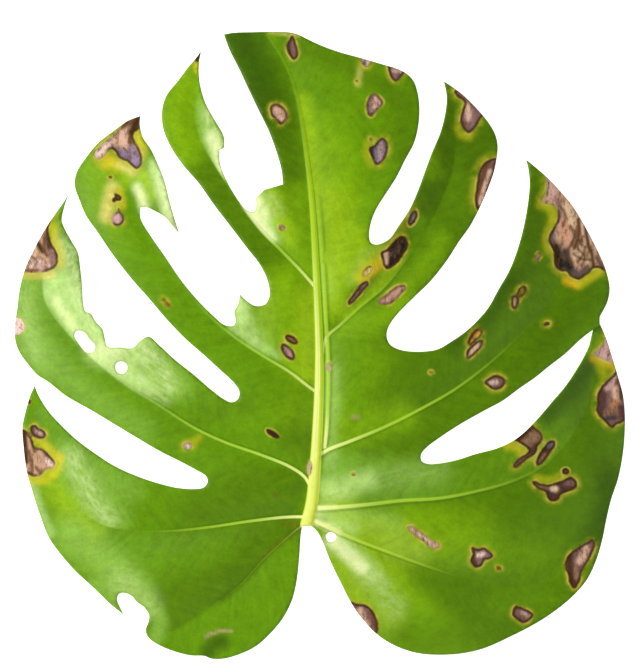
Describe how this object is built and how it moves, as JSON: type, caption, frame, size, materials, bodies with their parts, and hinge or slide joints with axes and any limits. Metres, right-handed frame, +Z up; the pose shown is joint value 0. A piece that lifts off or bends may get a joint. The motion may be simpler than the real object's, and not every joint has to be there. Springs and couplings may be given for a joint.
{
  "type": "monstera leaf",
  "caption": "Picked split leaf with deep side slits, sunken veins, small holes and brown spots, arched and resting on its margins.",
  "frame": {"origin": "on the surface it lies on, under the middle of the leaf's box", "axes": "+Z up, out of the leaf's upper face; +Y from the stem end to the drip tip; +X to the right with the upper face towards the viewer"},
  "size_m": [0.306, 0.3145, 0.0264],
  "materials": {
    "leaf_blade": "waxy semi-gloss green with yellow-green veins and dry brown spots"
  },
  "bodies": {
    "root": {"leaf": "leaf_blade"}
  },
  "joints": []
}
